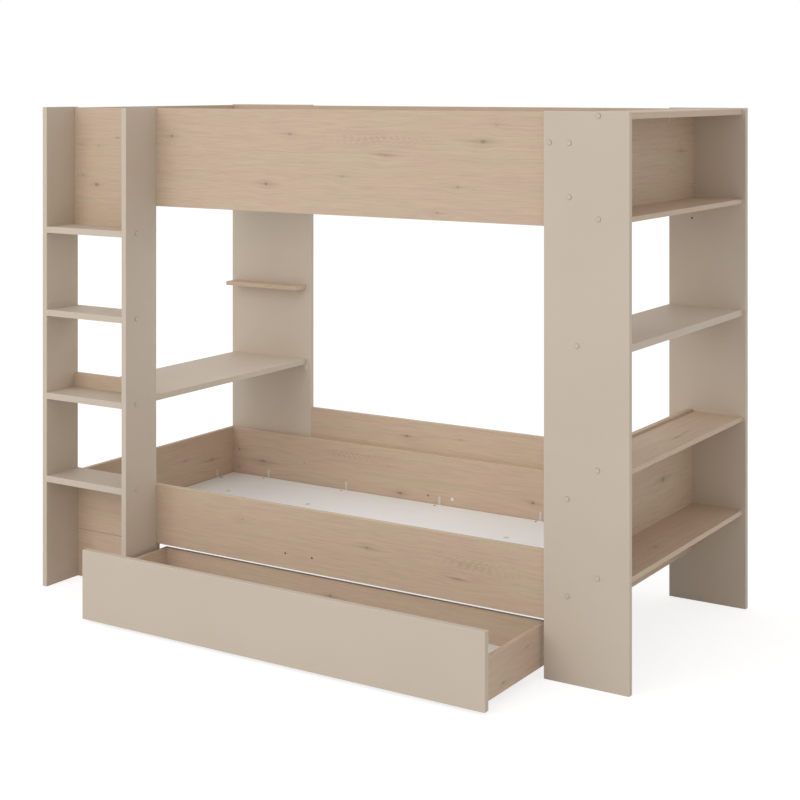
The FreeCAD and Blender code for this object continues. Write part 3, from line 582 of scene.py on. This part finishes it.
CAP_RADIUS = 0.0085
cap_profile = button(CAP_RADIUS, height=0.0026, brim=0.0008, crown=0.0058)
cap_points, cap_quads = turned(cap_profile, sides=32)
cap_share = np.linalg.norm(cap_points[:, :2], axis=1) / CAP_RADIUS
caps = []
for bit in clusters("cover_caps", reach=0.022):
    low, high = bit.min(0), bit.max(0)
    centre = (low + high) / 2
    axis = int(np.argmin(high - low))
    wide = np.delete(bit - centre, axis, 1)
    foot_level = bit[np.argmax(np.linalg.norm(wide, axis=1)), axis]
    direction = np.zeros(3)
    direction[axis] = 1.0 if foot_level < centre[axis] else -1.0
    foot = centre.copy()
    foot[axis] = foot_level
    caps.append((aimed(cap_points, foot, direction), cap_quads))

CROWN_TONES = (0.592, 0.502, 0.406), (0.620, 0.531, 0.436)
# The darker brim tone below is painted shade round each cap's rounded edge.
BRIM_SHADE_TONE = (0.450, 0.378, 0.300)
BRIM_SHADE_RANGE = 0.70, 0.95
CAP_CLOUDS_PER_METRE, CAP_GRAINS_PER_METRE = 30.0, 1800.0
CAP_ROUGHNESS, CAP_GRAIN_ROUGHNESS = 0.34, 0.1
MOULDED_DEPTH = 0.00004
cap_finish = Finish("cap_plastic")
clouds = cap_finish.noise(cap_finish.place, CAP_CLOUDS_PER_METRE, 3.0)
crown_colour = cap_finish.mix(clouds.step(*NOISE_RANGE), *CROWN_TONES)
outward = cap_finish.node("ShaderNodeAttribute", {"attribute_name": "share"}, {}, "Fac")
# Towards the outer edge the colour turns to the brim tone: painted shade, darkest at the rim.
cap_colour = cap_finish.mix(outward.step(*BRIM_SHADE_RANGE), crown_colour, BRIM_SHADE_TONE)
press = cap_finish.noise(cap_finish.place, CAP_GRAINS_PER_METRE, 2.0, 0.6)
cap_roughness = CAP_ROUGHNESS + press * CAP_GRAIN_ROUGHNESS
cap_plastic = cap_finish.surface(cap_colour, cap_roughness, press, MOULDED_DEPTH)
domed_caps = solid("domed_caps", caps, cap_plastic, cap_share)
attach(domed_caps, "bed")
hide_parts("cover_caps")


# Bolts, screws and cross nuts: zinc-plated or bronzed steel, mostly hidden in the boards. Sleeve nuts are
# lacquered in the wood's tone. The dowels beside them are beech, and a white plastic plug closes one hole in
# the back rail.
zinc_tones = (0.56, 0.57, 0.57), (0.68, 0.68, 0.66)
bronze_tones = (0.30, 0.23, 0.17), (0.38, 0.30, 0.22)
tan_tones = (0.500, 0.365, 0.262), (0.540, 0.400, 0.290)
metal = {"clouds_per_metre": 120.0, "spread": 0.16, "depth": 0.00003}
zinc = painted("zinc_steel", zinc_tones, smoothest=0.26, **metal, Metallic=1.0)
bronze = painted("bronzed_steel", bronze_tones, smoothest=0.40, **metal, Metallic=1.0)
tan_lacquer = painted("tan_lacquer", tan_tones, smoothest=0.42, **metal)
dress("assembly_screws", bronze)
dress("connecting_bolts", zinc)
dress("barrel_nuts", zinc)
dress("sleeve_nuts", tan_lacquer)

beech_tones = (0.66, 0.47, 0.29), (0.54, 0.37, 0.22)
for node in ("dowels", "drawer_dowels"):
    dress(node, raw_wood(f"beech_{node}", beech_tones, X))

plug_tones = (0.78, 0.77, 0.75), (0.84, 0.83, 0.81)
plug_white = painted(
    "plug_white", plug_tones, clouds_per_metre=60.0, smoothest=0.34, spread=0.1, depth=MOULDED_DEPTH
)
dress("rail_plug", plug_white)


# Drawer: a greige front over hickory sides and back, with a thin white bottom in their grooves.
# Raw bars under the bottom carry the castors.
cashmere("drawer_front")
drawer_left_knots = scattered_knots("drawer_left_side", Y, Z, seed=31, count=2)
drawer_right_knots = [(-0.542, 0.057, 0.007, 0.6, 0.2), (-0.394, 0.12, 0.006, 0.4, 0.1)]
drawer_back_knots = [(0.015, 0.103, 0.009, 0.7, 0.3)]
woodgrain("drawer_left_side", Y, Z, drawer_left_knots, turn=21.0)
woodgrain("drawer_right_side", Y, Z, drawer_right_knots, turn=22.0)
woodgrain("drawer_back", X, Z, drawer_back_knots, turn=23.0)
dress("drawer_bottom", white_laminate)
dress("drawer_bars", raw_wood("raw_drawer_bars", softwood_tones, Y))


# Castors: black moulded wheels on zinc-plated forks, each turning on a headed steel axle.
# A wheel is dished on both sides between its hub and its rim, and its tread is rounded at the edges.
for node in ("castor_forks", "castor_axles", "castor_screws"):
    dress(node, zinc)

wheel_tones = (0.030, 0.030, 0.031), (0.048, 0.047, 0.046)
wheel_black = painted(
    "wheel_black", wheel_tones, clouds_per_metre=80.0, smoothest=0.38, spread=0.2, depth=0.00008
)

WHEEL_BORE = 0.0026
BORE_DEPTH_SHARE, BORE_FLARE = 0.96, 1.15
HUB_RADIUS = 0.0046
RIM_WIDTH = 0.0029
TREAD_ROUNDING = 0.0016

# Steps outward and down from the edge of the hub into the dish, and inward and down from the edge of the rim.
HUB_STEPS = (0.0, 0.0), (0.0004, 0.0003), (0.0007, 0.0022), (0.0014, 0.0026)
RIM_STEPS = (0.0011, 0.0026), (0.0005, 0.0021), (0.0003, 0.0003), (0.0, 0.0)


def wheel_profile(radius, half):
    """Round half the section of a wheel, from the bore over the hub, down into the dish, up the rim and round
    the tread's quarter circle, and back the same way on the other side."""
    side = [(WHEEL_BORE, 0.0), (WHEEL_BORE, half * BORE_DEPTH_SHARE), (WHEEL_BORE * BORE_FLARE, half)]
    side += [(HUB_RADIUS + outward, half - down) for outward, down in HUB_STEPS]
    side += [(radius - RIM_WIDTH - inward, half - down) for inward, down in RIM_STEPS]
    for angle in np.linspace(0, math.pi / 2, 7):
        outward = TREAD_ROUNDING * (math.sin(angle) - 1)
        upward = TREAD_ROUNDING * (math.cos(angle) - 1)
        side.append((radius + outward, half + upward))
    return side + [(r, -h) for r, h in reversed(side)]


for corner in ("front_left", "front_right", "rear_left", "rear_right"):
    low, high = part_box(f"castor_wheel_{corner}")
    middle = (low + high) / 2
    profile = wheel_profile(radius=(high.z - low.z) / 2, half=(high.x - low.x) / 2)
    points, quads = turned(profile, sides=48)
    wheel = solid(f"wheel_{corner}", [(aimed(points, middle, (1.0, 0.0, 0.0)), quads)], wheel_black)
    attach(wheel, f"wheel_{corner}")
    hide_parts(f"castor_wheel_{corner}")


# Screws that hold the bases down on their brackets: small pan heads of bronzed steel.
# Over the bars under each base lie the broad, flat heads of the grey plastic rivets that carry them.
SUNK = 0.0002
SCREW_INWARD = 0.010
SCREW_ASIDE = 0.010
BAR_HALF_WIDTH = 0.030


def pan_head(radius, height, wall):
    """A flat foot sunk by a hair, a short wall and a low elliptical crown."""
    rise = np.linspace(0, math.pi / 2, 8)
    arc = [(radius * math.cos(a), wall + (height - wall) * math.sin(a)) for a in rise[:-1]]
    return [(0.0, -SUNK), (radius, -SUNK), *arc, (0.0, height)]


up = (0.0, 0.0, 1.0)
screw_points, screw_quads = turned(pan_head(radius=0.0042, height=0.0016, wall=0.0005), sides=24)
rivet_points, rivet_quads = turned(pan_head(radius=0.0100, height=0.0008, wall=0.0003), sides=32)
screws, rivets = [], []
for level in ("lower", "upper"):
    low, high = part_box(f"{level}_base_board")
    along_rails = set()
    for bit in clusters(f"{level}_base_brackets", reach=0.065):
        middle = (bit.min(0) + bit.max(0)) / 2
        from_rails = min(middle[Y] - low.y, high.y - middle[Y])
        from_ends = min(middle[X] - low.x, high.x - middle[X])
        axis = Y if from_rails < from_ends else X
        foot = middle.copy()
        foot[axis] += SCREW_INWARD if middle[axis] < (low[axis] + high[axis]) / 2 else -SCREW_INWARD
        foot[Z] = high.z
        if axis == Y:
            foot[X] -= SCREW_ASIDE
            along_rails.add(round(float(middle[X]), 4))
        screws.append((aimed(screw_points, foot, up), screw_quads))
    bars_low, bars_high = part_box(f"{level}_base_bars")
    rows = sorted(along_rails)
    del rows[len(rows) // 2]
    for x in rows:
        for y in (bars_low.y + BAR_HALF_WIDTH, bars_high.y - BAR_HALF_WIDTH):
            rivets.append((aimed(rivet_points, (x, y, high.z), up), rivet_quads))
base_screws = solid("base_screws", screws, bronze)
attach(base_screws, "bed")
rivet_tones = (0.62, 0.61, 0.60), (0.66, 0.65, 0.64)
rivet_plastic = painted(
    "rivet_plastic", rivet_tones, clouds_per_metre=40.0, smoothest=0.42, spread=0.1, depth=MOULDED_DEPTH
)
bar_rivets = solid("bar_rivets", rivets, rivet_plastic)
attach(bar_rivets, "bed")


# Studio: a plain white floor and a white surround that reads as paper to the camera.
# The floor keeps a soft shadow of the bed. One large soft lamp stands at the front left, and a weak one under
# the upper bunk lifts the lower one out of its shade.
FLOOR_REACH = 60.0
FLOOR_GREY = (0.85, 0.85, 0.85, 1)
SHADOW_GREY = (0.42, 0.42, 0.42, 1)
FLOOR_LIFT = 0.76
PAPER_WHITE = (1, 1, 1, 1)
GLOW_WHITE = (1.0, 0.99, 0.98, 1)
GLOW = 0.69


def seen_directly(nodes):
    """1 for camera, glossy and transmission rays."""
    path = nodes.node("ShaderNodeLightPath", {}, {}, None)
    camera_ray, glossy_ray, transmission_ray = (
        Value(nodes, path.outputs[f"Is {ray} Ray"]) for ray in ("Camera", "Glossy", "Transmission")
    )
    return camera_ray.most(glossy_ray).most(transmission_ray)


floor_mesh = bpy.data.meshes.new("floor")
floor_corners = [(x * FLOOR_REACH, y * FLOOR_REACH, 0.0) for x, y in ((-1, -1), (1, -1), (1, 1), (-1, 1))]
floor_mesh.from_pydata(floor_corners, [], [(0, 1, 2, 3)])
floor = bpy.data.objects.new("floor", floor_mesh)
bpy.context.scene.collection.objects.link(floor)
floor_paint = bpy.data.materials.new("floor_paint")
paint = Nodes(floor_paint)
plain = paint.node("ShaderNodeBsdfDiffuse", {}, {"Color": FLOOR_GREY}, "BSDF")
shadowed = paint.node("ShaderNodeBsdfDiffuse", {}, {"Color": SHADOW_GREY}, "BSDF")
lift = paint.node("ShaderNodeEmission", {}, {"Strength": FLOOR_LIFT}, "Emission")
lifted = paint.node("ShaderNodeAddShader", {}, {0: shadowed, 1: lift}, "Shader")
seen = paint.node("ShaderNodeMixShader", {}, {0: seen_directly(paint), 1: plain, 2: lifted}, "Shader")
paint.node("ShaderNodeOutputMaterial", {}, {"Surface": seen}, None)
floor_mesh.materials.append(floor_paint)

world = bpy.data.worlds.new("studio")
bpy.context.scene.world = world
sky = Nodes(world)
glow = sky.node("ShaderNodeBackground", {}, {"Color": GLOW_WHITE, "Strength": GLOW}, "Background")
paper = sky.node("ShaderNodeBackground", {}, {"Color": PAPER_WHITE}, "Background")
seen = sky.node("ShaderNodeMixShader", {}, {0: seen_directly(sky), 1: glow, 2: paper}, "Shader")
sky.node("ShaderNodeOutputWorld", {}, {"Surface": seen}, None)


def lamp(name, place, aim, sides, power):
    """A rectangular lamp that shines from its place towards its aim and isn't seen itself."""
    data = bpy.data.lights.new(name, "AREA")
    data.shape = "RECTANGLE"
    data.size, data.size_y = sides
    data.energy = power
    holder = bpy.data.objects.new(name, data)
    holder.location = place
    holder.visible_camera = False
    holder.visible_glossy = False
    heading = Vector(aim) - Vector(place)
    holder.rotation_euler = heading.to_track_quat("-Z", "Y").to_euler()
    bpy.context.scene.collection.objects.link(holder)


lamp("soft_front", place=(-2.1, -7.9, 4.7), aim=(0.0, 0.0, 0.9), sides=(6.0, 6.0), power=226.0)
lamp("soft_under", place=(-0.10, 0.18, 1.34), aim=(-0.10, 0.18, 0.2), sides=(1.4, 0.6), power=2.7)


# Camera: at the eye height and from the right-hand front that the bed is looked at from.
# The lens is level, and its frame is moved down to take in the foot of the bed.
CAMERA_PLACE = (3.1521, -4.77465, 1.810)
CAMERA_HEADING = 0.5653
view = bpy.data.cameras.new("view")
view.sensor_width = 36.0
view.lens = 73.82
view.shift_y = -0.3928
view.clip_end = 200.0
camera = bpy.data.objects.new("view", view)
camera.location = CAMERA_PLACE
camera.rotation_euler = (math.pi / 2, 0.0, CAMERA_HEADING)
bpy.context.scene.collection.objects.link(camera)
bpy.context.scene.camera = camera
bpy.context.scene.view_settings.view_transform = "Standard"
